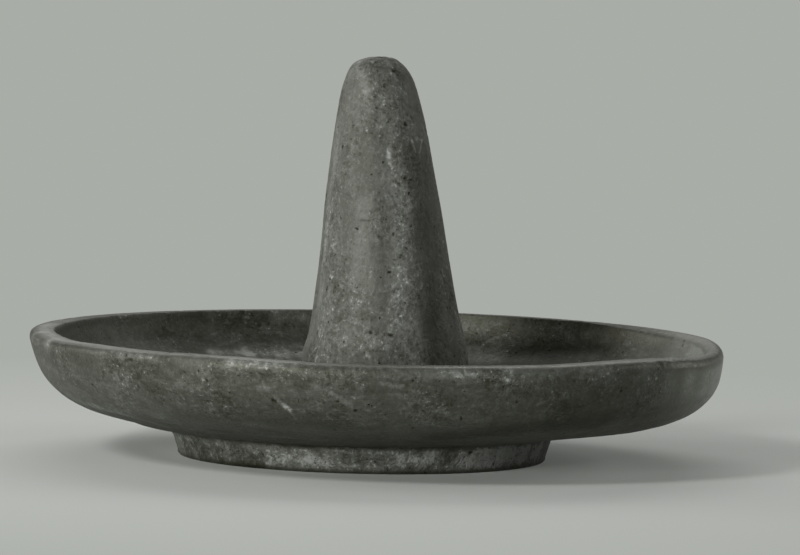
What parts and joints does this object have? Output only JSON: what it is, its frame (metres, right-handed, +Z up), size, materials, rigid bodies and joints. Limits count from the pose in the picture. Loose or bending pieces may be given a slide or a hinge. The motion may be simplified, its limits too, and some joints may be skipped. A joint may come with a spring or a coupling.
{
  "type": "stone bowl with pestle",
  "caption": "Shallow round stone bowl on a low foot ring, with a loose conical pestle that stands in it and lifts out.",
  "frame": {"origin": "on the ground, under the middle of the bowl's rim", "axes": "+Z up; +X to the right seen from the front, along the bowl's widest line; the front faces -Y"},
  "size_m": [0.35, 0.348, 0.2023],
  "materials": {
    "bowl_stone": "fine-grained dark basalt, ground and rubbed round the wall, semi-matt",
    "pestle_stone": "pecked and ground dark basalt, speckled, matt"
  },
  "bodies": {
    "bowl": {"footed_bowl": "bowl_stone"},
    "pestle": {"conical_pestle": "pestle_stone"}
  },
  "joints": [
    {"name": "pestle_lift", "type": "slide", "parent": "bowl", "child": "pestle", "axis": [0, 0, 1], "range_m": [0, 0.12]}
  ]
}
